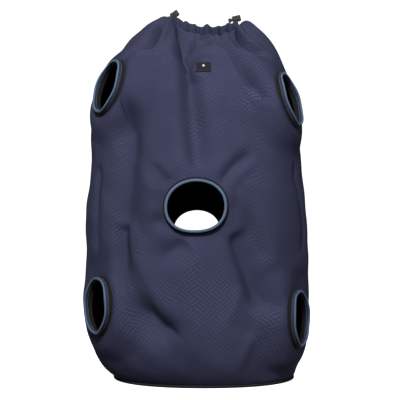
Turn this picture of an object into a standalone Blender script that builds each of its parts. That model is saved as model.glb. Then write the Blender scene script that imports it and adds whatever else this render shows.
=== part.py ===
"""A hay play bag: a cloth bag with a flat base, a mouth gathered on a drawcord, and six round feeding holes.

Metres, +Z up. It stands on its base at z = 0, the label and the front hole face -Y, and +X is to the right.
"""

import math

import bmesh
import bpy
from mathutils import Matrix, Vector

# The cloth bag
BAG_HALF_WIDTH = 0.2425  # widest, near the lower third
BAG_HALF_DEPTH = 0.205
SHOULDER_HEIGHT = 0.56  # where the walls start to draw in
MOUTH_HEIGHT = 0.750  # middle of the gathered hem, at the front
MOUTH_HALF_WIDTH = 0.069
MOUTH_HALF_DEPTH = 0.045
EAR_RISE = 0.0218  # how much higher the hem stands at its two sides
SIDE_SKEW = 0.0165  # the left side hangs this much higher, the right side this much lower
SKEW_FADE = 0.45  # the skew sets in over this share of the half width, above the base
SQUARENESS = 2.2  # 2 is an ellipse seen from above, more is squarer
CLOTH = 0.0020
GAP = 0.0003  # between one piece and the next

# Its base
BASE_SHARE = 0.765  # base width as a share of the widest width
BASE_ROUNDING = 0.042  # height over which the walls swell out from the base
BASE_SHIFT = 0.0197  # the base sits this far to the right of the walls
BASE_THICKNESS = 0.0030
BASE_CORD_RADIUS = 0.0030  # bound seam round the base
BASE_TUCK = 0.0010  # the seam's middle runs this far inside the walls' lower edge
WALL_BOTTOM = 2 * BASE_CORD_RADIUS + 2 * GAP
BASE_SHIFT_SPREAD = 0.76  # height over which that shift fades, as a share of the base's rounding
SHOULDER_TAPER = 0.060  # share of the width lost between the belly and the shoulder
BELLY_HEIGHT = 0.27

# Where the pieces of cloth meet
BODY_SHIFT = -0.0077
MOUTH_SHIFT = 0.0122
SEAM_TURN = math.radians(92)  # side seams, counted round from the front
SEAM_GAP = 0.0004  # between the front and back cloth at the mouth
BODY_SHARE = 0.62  # share of the panel's rows that lie below the shoulder
ROW_SPREAD = 1.35  # above 1, the rows lie closer together near the base

# How the shoulder is drawn in
SHOULDER_STANDOFF = 0.046  # how far out past the hem the cloth is led on its way in, at the sides
SHOULDER_DEPTH_KEPT = 0.60  # share of the depth kept on the way in, at the front and back
SHOULDER_SHIFT = 0.021  # how far to the right the cloth is drawn on its way in
SHOULDER_LIFT = 0.43  # share of the climb made before the cloth turns in
FRONT_PUFF = 0.74  # share of the climb made before the cloth reaches the mouth, at the front
SIDE_PUFF = 0.70  # how much more it is at the sides

# Feeding holes and their stand-out collars
COLLAR_RADIUS = 0.0562  # outside of the collar
COLLAR_WALL = 0.0022
COLLAR_PROUD = 0.0110  # how far it stands out of the cloth
COLLAR_INSET = 0.0050  # how far it reaches inside
BINDING_REACH = 0.0065  # how far the folded binding covers the collar
BINDING_THICKNESS = 0.0015
BINDING_NOSE = 0.0022  # how far the binding's rounded edge stands past the collar
CENTRE_HOLE_WIDEN = 1.06  # the two centre holes are drawn a little wider than high
CENTRE_HOLE_FLATTEN = 0.92
FLAT_RADIUS = 0.072  # the cloth lies flat round a collar as far as this
BLEND_RADIUS = 0.125  # and is back on its own curve here
FRONT_HOLE_HEIGHT = 0.364
BACK_HOLE_HEIGHT = 0.321
UPPER_HOLE_HEIGHT = 0.602
LOWER_HOLE_HEIGHT = 0.150
LEFT_HOLE_TURN = math.radians(53)
RIGHT_HOLE_TURN = math.radians(57.5)
LEFT_HOLE_FACING = math.radians(61)
RIGHT_HOLE_FACING = math.radians(68)
UPPER_HOLE_LEAN = math.radians(16)
LOWER_HOLE_LEAN = math.radians(2)

# The hem channel and the drawcord in it
HEM_HALF_HEIGHT = 0.0100
HEM_HALF_THICKNESS = 0.0040
HEM_CLOTH = 0.0012
HEM_SQUARENESS = 0.7  # of the channel's section: 1 is an ellipse, less is squarer
HEM_END_TURN = math.radians(81)  # each half of the channel stops short of the side, to let the cord out
CORD_RADIUS = 0.0016
CORD_HEM_TURN = math.radians(70)  # each half of the cord follows the hem as far as this
CORD_PITCH = 2 * CORD_RADIUS + GAP  # between the two strands, where they lie side by side
KNOT_RADIUS = 0.0055
KNOT_FLATTEN = 0.75
TAIL_SPARE = 0.0040  # cord left between the lock at its far stop and the knot

# Cord locks, a barrel with a sprung plunger across the cord
LOCK_LIFT = 0.024  # cord hole above the middle of the hem
LOCK_BACK = 0.0125  # cord hole behind the side of the mouth
LEFT_LOCK_TILT = math.radians(35)
RIGHT_LOCK_TILT = math.radians(15)
LOCK_TRAVEL = 0.020
PRESS_TRAVEL = 0.0030
PLUNGER_WALL = 0.0012  # of the plunger, above and below its slot
PLUNGER_THICKNESS = 0.0065
SLOT_HEIGHT = CORD_PITCH + 2 * CORD_RADIUS + 2 * GAP
PLUNGER_HEIGHT = SLOT_HEIGHT + 2 * PLUNGER_WALL
LOCK_WALL = 0.0014
LOCK_BOTTOM = 0.0098  # closed end, from the middle of the cord hole
LOCK_MOUTH = 0.0090  # open end, from the middle of the cord hole
CLAMP_BAR = 0.0012  # bar of the plunger that presses on the cord
BARREL_ROUNDING = 0.0011
PLUNGER_SETBACK = 0.0006  # of the plunger's block behind the barrel's open end
KNOB_ROUNDING = 0.0012
KNOB_LENGTH = 0.0055
KNOB_HEIGHT = 0.0092
KNOB_THICKNESS = 0.0076
NECK_HEIGHT = 0.0062
NECK_OVERLAP = 0.0010  # how far the neck runs into the block and the knob
NECK_THICKNESS = 0.0048
SPRING_RADIUS = 0.0024
SPRING_WIRE = 0.0003
SPRING_TURNS = 3

# The label
LABEL_HALF_WIDTH = 0.0153
LABEL_HALF_HEIGHT = 0.0143
LABEL_HEIGHT = 0.650
LABEL_TURN = math.radians(1.0)
LABEL_THICKNESS = 0.0009
LABEL_BULGE = 0.0002  # of the curved cloth behind the flat label
LOZENGE_HALF_WIDTH = 0.0030
LOZENGE_HALF_HEIGHT = 0.0045
LOZENGE_THICKNESS = 0.0006
LOZENGE_RISE = 0.0035  # above the label's middle

CUTTER_REACH = 0.020  # a lock's cutters run this far past it
HOLE_CUTTER_DEPTH = 0.080
ROUND_STEPS = 32  # a multiple of 4, so that cutters and rings share their corners
BASE_STEPS = 44  # the same on the base and on its bound seam
FRONT, BACK = 0.0, math.pi


def clear_scene():
    for obj in list(bpy.data.objects):
        bpy.data.objects.remove(obj, do_unlink=True)


def new_collection(name, hidden):
    collection = bpy.data.collections.new(name)
    bpy.context.scene.collection.children.link(collection)
    collection.hide_render = hidden
    return collection


clear_scene()
PARTS = new_collection("hay_play_bag", False)
CUTTERS = new_collection("cutters", True)


def material(name, colour, roughness):
    made = bpy.data.materials.new(name)
    made.use_nodes = True
    shader = made.node_tree.nodes["Principled BSDF"]
    shader.inputs["Base Color"].default_value = (*colour, 1)
    shader.inputs["Roughness"].default_value = roughness
    return made


def take(obj, name, collection):
    """Names the object that a primitive operator has just made and moves it into its collection."""
    obj.name = name
    obj.data.name = name
    for old in list(obj.users_collection):
        old.objects.unlink(obj)
    collection.objects.link(obj)
    return obj


def finish(obj, stuff, smooth):
    obj.data.materials.append(stuff)
    if obj.type == "MESH":
        obj.data.polygons.foreach_set("use_smooth", [smooth] * len(obj.data.polygons))
    return obj


def as_cutter(obj):
    obj.hide_render = True
    obj.display_type = "WIRE"
    return obj


def cut(obj, cutter, operation="DIFFERENCE"):
    change = obj.modifiers.new(cutter.name, "BOOLEAN")
    change.operation = operation
    change.solver = "EXACT"
    change.object = cutter
    return obj


def smooth_step(share):
    share = min(max(share, 0.0), 1.0)
    return share * share * (3 - 2 * share)


def bezier(share, first, second, third, fourth):
    rest = 1 - share
    return rest**3 * first + 3 * rest**2 * share * second + 3 * rest * share**2 * third + share**3 * fourth


def signed_power(value, power):
    return math.copysign(abs(value) ** power, value)


# The shape of the bag


def body_share(height):
    """Width at this height as a share of the widest width."""
    swell = 1 - (1 - BASE_SHARE) * math.exp(-height / BASE_ROUNDING)
    draw_in = smooth_step((height - BELLY_HEIGHT) / (SHOULDER_HEIGHT - BELLY_HEIGHT))
    return swell * (1 - SHOULDER_TAPER * draw_in)


def body_shift(height):
    return BODY_SHIFT + BASE_SHIFT * math.exp(-height / (BASE_SHIFT_SPREAD * BASE_ROUNDING))


def skewed(x, height):
    """Height after the bag's sideways skew, which fades out at the base."""
    return height - SIDE_SKEW * x / BAG_HALF_WIDTH * smooth_step(height / (SKEW_FADE * BAG_HALF_WIDTH))


def seen_from_above(turn, half_width, half_depth, shift):
    power = 2 / SQUARENESS
    x = shift + half_width * signed_power(math.sin(turn), power)
    return x, -half_depth * signed_power(math.cos(turn), power)


def hem_height(turn):
    return MOUTH_HEIGHT + EAR_RISE * math.sin(turn) ** 2


def hem_point(turn, outward=0.0, upward=0.0):
    """Point at this distance out from, and above, the middle of the gathered hem."""
    half_width, half_depth = MOUTH_HALF_WIDTH + outward, MOUTH_HALF_DEPTH + outward
    x, y = seen_from_above(turn, half_width, half_depth, MOUTH_SHIFT)
    return Vector((x, y, skewed(x, hem_height(turn)) + upward))


def shoulder_point(turn, share):
    """Point on the cloth above the shoulder: share goes from 0 there to 1 under the hem."""
    wide, deep = BAG_HALF_WIDTH * (1 - SHOULDER_TAPER), BAG_HALF_DEPTH * (1 - SHOULDER_TAPER)
    led_in = MOUTH_HALF_WIDTH + HEM_HALF_THICKNESS + SHOULDER_STANDOFF
    half_width = bezier(share, wide, wide, led_in, MOUTH_HALF_WIDTH + CLOTH / 2)
    half_depth = bezier(share, deep, deep, SHOULDER_DEPTH_KEPT * deep, MOUTH_HALF_DEPTH + CLOTH / 2)
    shift = bezier(share, BODY_SHIFT, BODY_SHIFT, SHOULDER_SHIFT, MOUTH_SHIFT)
    x, y = seen_from_above(turn, half_width, half_depth, shift)
    climb = MOUTH_HEIGHT - SHOULDER_HEIGHT
    top = hem_height(turn) - HEM_HALF_HEIGHT - GAP
    puff = FRONT_PUFF + SIDE_PUFF * math.sin(turn) ** 2
    middle = SHOULDER_HEIGHT + climb * puff
    height = bezier(share, SHOULDER_HEIGHT, SHOULDER_HEIGHT + SHOULDER_LIFT * climb, middle, top)
    return Vector((x, y, skewed(x, height)))


def wall_point(turn, rise):
    """Point on the outside of the cloth: rise goes from 0 at the base to 1 under the hem."""
    if rise > BODY_SHARE:
        return shoulder_point(turn, (rise - BODY_SHARE) / (1 - BODY_SHARE))
    height = WALL_BOTTOM + (SHOULDER_HEIGHT - WALL_BOTTOM) * (rise / BODY_SHARE) ** ROW_SPREAD
    share = body_share(height)
    x, y = seen_from_above(turn, BAG_HALF_WIDTH * share, BAG_HALF_DEPTH * share, body_shift(height))
    return Vector((x, y, skewed(x, height)))


def rise_at(turn, height):
    """Rise at which the cloth's unskewed height is this."""
    low, high = 0.0, 1.0
    for _ in range(40):
        middle = (low + high) / 2
        point = wall_point(turn, middle)
        if point.z < skewed(point.x, height):
            low = middle
        else:
            high = middle
    return low


class Hole:
    """A feeding hole: its middle on the cloth, the way it faces, and its sideways and upward directions."""

    def __init__(self, name, turn, height, facing, lean, oval):
        self.name = name
        self.middle = wall_point(turn, rise_at(turn, height))
        level = Vector((math.sin(facing), -math.cos(facing), 0))
        self.out = (level * math.cos(lean) + Vector((0, 0, math.sin(lean)))).normalized()
        self.side = Vector((0, 0, 1)).cross(self.out).normalized()
        self.up = self.out.cross(self.side)
        self.oval = oval

    def matrix(self):
        turned = Matrix((self.side, self.up, self.out)).transposed().to_4x4()
        return Matrix.Translation(self.middle) @ turned @ Matrix.Diagonal((*self.oval, 1, 1))


CENTRE_OVAL = (CENTRE_HOLE_WIDEN, CENTRE_HOLE_FLATTEN)
FRONT_HOLE = Hole("front", FRONT, FRONT_HOLE_HEIGHT, FRONT, 0, CENTRE_OVAL)
BACK_HOLE = Hole("back", BACK, BACK_HOLE_HEIGHT, BACK, 0, CENTRE_OVAL)
SIDE_HOLES = [
    Hole("upper_left", -LEFT_HOLE_TURN, UPPER_HOLE_HEIGHT, -LEFT_HOLE_FACING, UPPER_HOLE_LEAN, (1, 1)),
    Hole("upper_right", RIGHT_HOLE_TURN, UPPER_HOLE_HEIGHT, RIGHT_HOLE_FACING, UPPER_HOLE_LEAN, (1, 1)),
    Hole("lower_left", -LEFT_HOLE_TURN, LOWER_HOLE_HEIGHT, -LEFT_HOLE_FACING, LOWER_HOLE_LEAN, (1, 1)),
    Hole("lower_right", RIGHT_HOLE_TURN, LOWER_HOLE_HEIGHT, RIGHT_HOLE_FACING, LOWER_HOLE_LEAN, (1, 1)),
]
ALL_HOLES = [FRONT_HOLE, BACK_HOLE, *SIDE_HOLES]


def cloth_point(turn, rise):
    """Point on the outside of the cloth, which lies flat round each collar."""
    point = wall_point(turn, rise)
    for hole in ALL_HOLES:
        away = (point - hole.middle).length
        flat = 1 - smooth_step((away - FLAT_RADIUS) / (BLEND_RADIUS - FLAT_RADIUS))
        point = point + hole.out * (hole.middle - point).dot(hole.out) * flat
    return point


# Pieces


def mapped_grid(name, columns, rows, point_of):
    """A grid primitive whose corners (0 to 1 across, 0 to 1 up) are moved to where point_of puts them."""
    bpy.ops.mesh.primitive_grid_add(x_subdivisions=columns, y_subdivisions=rows, size=1)
    obj = take(bpy.context.object, name, PARTS)
    for vertex in obj.data.vertices:
        vertex.co = point_of(vertex.co.x + 0.5, vertex.co.y + 0.5)
    return obj


def thicken(obj, thickness, offset):
    shell = obj.modifiers.new("thickness", "SOLIDIFY")
    shell.thickness = thickness
    shell.offset = offset
    shell.use_even_offset = True
    return obj


def hole_cutter(hole):
    radius = COLLAR_RADIUS + GAP
    bpy.ops.mesh.primitive_cylinder_add(vertices=ROUND_STEPS, radius=radius, depth=HOLE_CUTTER_DEPTH)
    cutter = as_cutter(take(bpy.context.object, f"cut_{hole.name}_hole", CUTTERS))
    cutter.matrix_world = hole.matrix()
    return cutter


def panel(name, first_turn, last_turn, columns, rows, holes, stuff):
    turns = last_turn - first_turn
    obj = mapped_grid(name, columns, rows, lambda across, up: cloth_point(first_turn + turns * across, up))
    thicken(obj, CLOTH, -1)
    obj.modifiers.new("flat_faces", "TRIANGULATE")
    for hole in holes:
        cut(obj, hole_cutter(hole))
    return finish(obj, stuff, True)


def turned(name, profile, matrix, stuff):
    """A ring turned round its own Z axis from a closed profile of (radius, height) corners."""
    mesh = bpy.data.meshes.new(name)
    corners = [(radius, 0, height) for radius, height in profile]
    mesh.from_pydata(corners, [(i, (i + 1) % len(corners)) for i in range(len(corners))], [])
    obj = bpy.data.objects.new(name, mesh)
    PARTS.objects.link(obj)
    obj.matrix_world = matrix
    spin = obj.modifiers.new("turn", "SCREW")
    spin.steps = spin.render_steps = ROUND_STEPS
    spin.use_merge_vertices = True
    spin.merge_threshold = 0.00001
    spin.use_smooth_shade = True
    obj.data.materials.append(stuff)
    return obj


def collar(hole, stuff):
    outer, inner = COLLAR_RADIUS, COLLAR_RADIUS - COLLAR_WALL
    profile = [(outer, COLLAR_PROUD), (outer, -COLLAR_INSET), (inner, -COLLAR_INSET), (inner, COLLAR_PROUD)]
    return turned(f"collar_{hole.name}", profile, hole.matrix(), stuff)


def rim_binding(hole, stuff):
    """Tape folded over the collar's rim, with a rounded outer edge."""
    outer, inner = COLLAR_RADIUS + GAP, COLLAR_RADIUS - COLLAR_WALL - GAP
    wide, narrow = outer + BINDING_THICKNESS, inner - BINDING_THICKNESS
    foot, rim = COLLAR_PROUD - BINDING_REACH, COLLAR_PROUD + GAP
    nose = rim + BINDING_NOSE
    profile = [
        (outer, foot),
        (outer, rim),
        (inner, rim),
        (inner, foot),
        (narrow, foot),
        (narrow, rim + BINDING_NOSE / 3),
        (inner, nose),
        (outer, nose),
        (wide, rim + BINDING_NOSE / 3),
        (wide, foot),
    ]
    return turned(f"rim_binding_{hole.name}", profile, hole.matrix(), stuff)


def base_outline(turn, inward):
    """Point this far inside the middle of the base seam, which runs under the walls' lower edge."""
    share, inset = body_share(WALL_BOTTOM), BASE_TUCK + inward
    half_width, half_depth = BAG_HALF_WIDTH * share - inset, BAG_HALF_DEPTH * share - inset
    return seen_from_above(turn, half_width, half_depth, body_shift(WALL_BOTTOM))


def base_panel(stuff):
    bpy.ops.mesh.primitive_cylinder_add(vertices=BASE_STEPS, radius=1, depth=BASE_THICKNESS)
    obj = take(bpy.context.object, "base_panel", PARTS)
    for vertex in obj.data.vertices:
        turn = math.atan2(vertex.co.x, -vertex.co.y)
        x, y = base_outline(turn, BASE_CORD_RADIUS + 3 * GAP)
        vertex.co = (x, y, vertex.co.z + BASE_THICKNESS / 2)
    return finish(obj, stuff, False)


def base_seam(stuff):
    def point_of(along, around):
        turn, angle = 2 * math.pi * along, 2 * math.pi * around
        x, y = base_outline(turn, BASE_CORD_RADIUS * math.cos(angle))
        return Vector((x, y, BASE_CORD_RADIUS * (1 + math.sin(angle)) + GAP))

    obj = mapped_grid("base_seam_binding", BASE_STEPS, 8, point_of)
    close_up(obj)
    return finish(obj, stuff, True)


def close_up(obj):
    """Joins the edges of a grid that has been rolled into a tube and faces it outward."""
    shape = bmesh.new()
    shape.from_mesh(obj.data)
    bmesh.ops.remove_doubles(shape, verts=shape.verts, dist=0.00001)
    bmesh.ops.recalc_face_normals(shape, faces=shape.faces)
    shape.to_mesh(obj.data)
    shape.free()


def hem_channel(name, middle_turn, stuff):
    """Half of the gathered hem: a flat tube of cloth, open at both ends."""

    def point_of(along, around):
        turn = middle_turn + HEM_END_TURN * (2 * along - 1)
        angle = 2 * math.pi * around
        outward = HEM_HALF_THICKNESS * signed_power(math.cos(angle), HEM_SQUARENESS)
        upward = HEM_HALF_HEIGHT * signed_power(math.sin(angle), HEM_SQUARENESS)
        return hem_point(turn, outward, upward)

    obj = mapped_grid(name, 22, 12, point_of)
    close_up(obj)
    thicken(obj, HEM_CLOTH, -1)
    return finish(obj, stuff, True)


# The drawcord and its locks


class Lock:
    """Where a cord lock sits: its middle, the way its knob points, the cord's way and the way across both."""

    def __init__(self, side, tilt):
        self.side = side
        turn = math.radians(90) * (-1 if side == "left" else 1)
        self.turn = turn
        self.middle = hem_point(turn) + Vector((0, LOCK_BACK, LOCK_LIFT))
        self.knob_way = Vector((-math.cos(tilt), 0, -math.sin(tilt)))
        self.cord_way = Vector((0, 1, 0))
        self.across = Vector((-math.sin(tilt), 0, math.cos(tilt)))

    def matrix(self):
        turned_axes = Matrix((self.knob_way, self.cord_way, self.across)).transposed().to_4x4()
        return Matrix.Translation(self.middle) @ turned_axes


LOCKS = {"left": Lock("left", LEFT_LOCK_TILT), "right": Lock("right", RIGHT_LOCK_TILT)}


def smooth_path(points, pieces):
    """Evenly bent path through these points."""
    ends = [2 * points[0] - points[1], *points, 2 * points[-1] - points[-2]]
    path = []
    for before, start, stop, after in zip(ends, ends[1:], ends[2:], ends[3:]):
        for i in range(pieces):
            t = i / pieces
            path.append(
                0.5 * (2 * start + (stop - before) * t)
                + 0.5 * (2 * before - 5 * start + 4 * stop - after) * t**2
                + 0.5 * (3 * start - before - 3 * stop + after) * t**3
            )
    return [*path, points[-1]]


def cord(name, path, radius, roundness, stuff):
    """A round cord or wire along this path, with closed ends."""
    curve = bpy.data.curves.new(name, "CURVE")
    curve.dimensions = "3D"
    curve.bevel_depth = radius
    curve.bevel_resolution = roundness
    curve.use_fill_caps = True
    line = curve.splines.new("POLY")
    line.points.add(len(path) - 1)
    for spot, point in zip(line.points, path):
        spot.co = (*point, 1)
    obj = bpy.data.objects.new(name, curve)
    PARTS.objects.link(obj)
    curve.materials.append(stuff)
    return obj


def tail_end():
    """How far behind the lock's middle the cord runs before its knot."""
    return PLUNGER_THICKNESS / 2 + LOCK_WALL + LOCK_TRAVEL + TAIL_SPARE


def hem_beside(turn, back):
    """Middle of the hem this far behind its left or right side."""
    lean = math.acos((abs(back) / MOUTH_HALF_DEPTH) ** (SQUARENESS / 2))
    return hem_point(math.copysign(lean if back < 0 else math.pi - lean, turn))


def cord_end(lock, upper):
    """Points of one strand from inside the hem, up, over and back through the lock to its knot."""
    way = -1 if upper else 1
    strand = lock.across * (CORD_PITCH / 2 * -way)
    steps = [(0.0130, -0.0232), (0.0078, -0.0200), (0.0042, -0.0140)]
    steps += [(0.0040, -0.0080)] if upper else [(0.0016, -0.0090)]
    mouth = hem_point(lock.turn)
    points = [hem_beside(lock.turn, way * back) + Vector((0, 0, LOCK_LIFT + down)) for back, down in steps]
    bend = [(-0.0034, -0.0035), (-0.0012, -0.0004), (0.0022, 0.0)]
    if not upper:
        bend = [(0.0020, -0.0030), (0.0044, -0.0005), (0.0070, 0.0)]
    for back, down in bend:
        points.append(mouth + strand + Vector((0, back, LOCK_LIFT + down)))
    for back in (0.0, tail_end()):
        points.append(lock.middle + strand + Vector((0, back, 0)))
    return points


def drawcord(name, middle_turn, upper, stuff):
    """One half of the drawcord: through the hem from one lock to the other."""
    reach = CORD_HEM_TURN
    inside = [hem_point(middle_turn - reach + 2 * reach * i / 12) for i in range(13)]
    first, last = ("left", "right") if upper else ("right", "left")
    start = cord_end(LOCKS[first], upper)[::-1]
    path = smooth_path([*start, *inside, *cord_end(LOCKS[last], upper)], 2)
    return cord(name, path, CORD_RADIUS, 1, stuff)


def knot(lock, stuff):
    bpy.ops.mesh.primitive_uv_sphere_add(segments=12, ring_count=8, radius=KNOT_RADIUS)
    obj = take(bpy.context.object, f"cord_knot_{lock.side}", PARTS)
    back = tail_end() + GAP + KNOT_FLATTEN * KNOT_RADIUS
    for vertex in obj.data.vertices:
        vertex.co.y *= KNOT_FLATTEN
    obj.location = lock.middle + Vector((0, back, 0))
    return finish(obj, stuff, True)


def block(name, collection, low, high):
    """A box between two corners."""
    bpy.ops.mesh.primitive_cube_add(size=1)
    obj = take(bpy.context.object, name, collection)
    for vertex in obj.data.vertices:
        vertex.co = [low[i] + (high[i] - low[i]) * (vertex.co[i] + 0.5) for i in range(3)]
    return obj


def soften(obj, width, segments):
    edge = obj.modifiers.new("soft_edges", "BEVEL")
    edge.width = width
    edge.segments = segments
    return obj


def lock_housing(lock, stuff):
    """The barrel: a cup open towards the knob, with the cord hole through its two broad sides."""
    half_high = PLUNGER_HEIGHT / 2 + GAP
    half_thick = PLUNGER_THICKNESS / 2 + GAP
    outer_high, outer_thick = half_high + LOCK_WALL, half_thick + LOCK_WALL
    low, high = (-LOCK_BOTTOM, -outer_thick, -outer_high), (LOCK_MOUTH, outer_thick, outer_high)
    obj = block(f"lock_housing_{lock.side}", PARTS, low, high)
    soften(obj, BARREL_ROUNDING, 2)
    floor = LOCK_WALL - LOCK_BOTTOM
    deep, open_end = (floor, -half_thick, -half_high), (CUTTER_REACH, half_thick, half_high)
    pocket = block(f"cut_pocket_{lock.side}", CUTTERS, deep, open_end)
    hole_high = CORD_PITCH / 2 + CORD_RADIUS + GAP
    hole_long = CORD_RADIUS + GAP
    near, far = (-hole_long, -CUTTER_REACH, -hole_high), (hole_long, CUTTER_REACH, hole_high)
    bore = block(f"cut_bore_{lock.side}", CUTTERS, near, far)
    for cutter in (pocket, bore):
        as_cutter(cutter).matrix_world = lock.matrix()
        cut(obj, cutter)
    obj.matrix_world = lock.matrix()
    return finish(obj, stuff, False)


def plunger_block(lock, name, start, stop, height, thickness):
    low, high = (start, -thickness / 2, -height / 2), (stop, thickness / 2, height / 2)
    obj = as_cutter(block(f"{name}_{lock.side}", CUTTERS, low, high))
    obj.matrix_world = lock.matrix()
    return obj


def lock_plunger(lock, stuff):
    """The sprung plunger: a slotted block in the barrel, a neck, and the knob that the thumb presses."""
    clear = CORD_RADIUS + GAP
    top = LOCK_MOUTH - PLUNGER_SETBACK
    low = (-clear - CLAMP_BAR, -PLUNGER_THICKNESS / 2, -PLUNGER_HEIGHT / 2)
    obj = block(f"lock_plunger_{lock.side}", PARTS, low, (top, -low[1], -low[2]))
    knob_start = LOCK_MOUTH + PRESS_TRAVEL + 2 * GAP
    neck_start, neck_stop = top - NECK_OVERLAP, knob_start + NECK_OVERLAP
    neck = plunger_block(lock, "neck", neck_start, neck_stop, NECK_HEIGHT, NECK_THICKNESS)
    knob = plunger_block(lock, "knob", knob_start, knob_start + KNOB_LENGTH, KNOB_HEIGHT, KNOB_THICKNESS)
    soften(knob, KNOB_ROUNDING, 2)
    slot = plunger_block(lock, "slot", -clear, clear + PRESS_TRAVEL, SLOT_HEIGHT, CUTTER_REACH)
    cut(obj, neck, "UNION")
    cut(obj, knob, "UNION")
    cut(obj, slot)
    obj.matrix_world = lock.matrix()
    return finish(obj, stuff, False)


def lock_spring(lock, stuff):
    """A small coil between the barrel's floor and the plunger's bar."""
    start = LOCK_WALL - LOCK_BOTTOM + SPRING_WIRE + GAP
    stop = -CORD_RADIUS - GAP - CLAMP_BAR - SPRING_WIRE - GAP
    steps = 10 * SPRING_TURNS
    place = lock.matrix()
    path = []
    for i in range(steps + 1):
        angle = 2 * math.pi * i / 10
        along = start + (stop - start) * i / steps
        path.append(place @ Vector((along, SPRING_RADIUS * math.cos(angle), SPRING_RADIUS * math.sin(angle))))
    return cord(f"lock_spring_{lock.side}", path, SPRING_WIRE, 1, stuff)


# The label


def label_point(sideways, upward):
    """Point on the cloth this far sideways and up from the label's middle."""
    rise = rise_at(LABEL_TURN, LABEL_HEIGHT)
    middle = wall_point(LABEL_TURN, rise)
    across = (wall_point(LABEL_TURN + 0.02, rise) - middle).normalized()
    up = (wall_point(LABEL_TURN, rise + 0.005) - middle).normalized()
    up = (up - across * up.dot(across)).normalized()
    return middle + across * sideways + up * upward, across.cross(up)


def label_patch(stuff):
    low = (-LABEL_HALF_WIDTH, -LABEL_HALF_HEIGHT, 0)
    obj = block("label_patch", PARTS, low, (-low[0], -low[1], LABEL_THICKNESS))
    return place_on_label(obj, 0, label_lift(), stuff)


def label_lift():
    """The flat label stands this far off the curved cloth's middle."""
    return GAP + LABEL_BULGE


def place_on_label(obj, upward, lift, stuff):
    middle, out = label_point(0, upward)
    side = (label_point(0.01, upward)[0] - middle).normalized()
    turned_axes = Matrix((side, out.cross(side), out)).transposed().to_4x4()
    obj.matrix_world = Matrix.Translation(middle + out * lift) @ turned_axes
    return finish(obj, stuff, False)


def label_lozenge(stuff):
    bpy.ops.mesh.primitive_cylinder_add(vertices=4, radius=1, depth=LOZENGE_THICKNESS)
    obj = take(bpy.context.object, "label_lozenge", PARTS)
    for vertex in obj.data.vertices:
        x, y = vertex.co.x * LOZENGE_HALF_WIDTH, vertex.co.y * LOZENGE_HALF_HEIGHT
        vertex.co = (x, y, vertex.co.z + LOZENGE_THICKNESS / 2)
    return place_on_label(obj, LOZENGE_RISE, label_lift() + LABEL_THICKNESS + GAP, stuff)


def build():
    cloth = material("navy_polyester_cloth", (0.040, 0.043, 0.085), 0.85)
    base_cloth = material("navy_base_cloth", (0.034, 0.036, 0.072), 0.85)
    webbing = material("black_webbing", (0.012, 0.011, 0.012), 0.8)
    blue = material("blue_rim_binding", (0.075, 0.16, 0.27), 0.7)
    dark_cord = material("black_cord", (0.012, 0.012, 0.013), 0.8)
    plastic = material("black_plastic", (0.010, 0.010, 0.011), 0.45)
    steel = material("spring_steel", (0.55, 0.56, 0.58), 0.3)
    woven = material("black_label_cloth", (0.014, 0.012, 0.018), 0.8)
    silver = material("silver_label_thread", (0.45, 0.46, 0.48), 0.5)

    panel("front_panel", -SEAM_TURN, SEAM_TURN, 40, 26, [FRONT_HOLE, *SIDE_HOLES], cloth)
    seam = SEAM_GAP / MOUTH_HALF_DEPTH
    panel("back_panel", SEAM_TURN + seam, 2 * math.pi - SEAM_TURN - seam, 34, 26, [BACK_HOLE], cloth)
    base_panel(base_cloth)
    base_seam(webbing)
    hem_channel("hem_channel_front", FRONT, cloth)
    hem_channel("hem_channel_back", BACK, cloth)
    for hole in ALL_HOLES:
        collar(hole, webbing)
        rim_binding(hole, blue)
    drawcord("drawcord_front", FRONT, True, dark_cord)
    drawcord("drawcord_back", BACK, False, dark_cord)
    for lock in LOCKS.values():
        knot(lock, dark_cord)
        lock_housing(lock, plastic)
        lock_plunger(lock, plastic)
        lock_spring(lock, steel)
    label_patch(woven)
    label_lozenge(silver)


build()
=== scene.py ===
"""Looks of the hay play bag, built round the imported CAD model. Metres, +Z up, front towards -Y."""

import math

import bmesh
import bpy
import numpy as np
from mathutils import Matrix, Vector


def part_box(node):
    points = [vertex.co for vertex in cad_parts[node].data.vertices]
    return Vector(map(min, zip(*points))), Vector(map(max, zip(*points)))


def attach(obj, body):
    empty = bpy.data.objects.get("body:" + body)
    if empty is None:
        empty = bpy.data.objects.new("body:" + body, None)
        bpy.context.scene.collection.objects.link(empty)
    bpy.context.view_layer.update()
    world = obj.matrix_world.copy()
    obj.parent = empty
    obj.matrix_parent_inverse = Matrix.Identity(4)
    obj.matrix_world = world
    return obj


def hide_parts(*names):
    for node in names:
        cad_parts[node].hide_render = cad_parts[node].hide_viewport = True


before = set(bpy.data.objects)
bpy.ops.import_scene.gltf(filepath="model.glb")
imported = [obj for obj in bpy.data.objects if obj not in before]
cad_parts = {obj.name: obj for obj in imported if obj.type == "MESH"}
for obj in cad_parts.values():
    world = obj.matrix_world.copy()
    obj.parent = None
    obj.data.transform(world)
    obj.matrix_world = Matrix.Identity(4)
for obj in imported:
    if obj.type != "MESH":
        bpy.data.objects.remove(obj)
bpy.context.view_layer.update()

bpy.ops.object.select_all(action="DESELECT")

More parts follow.
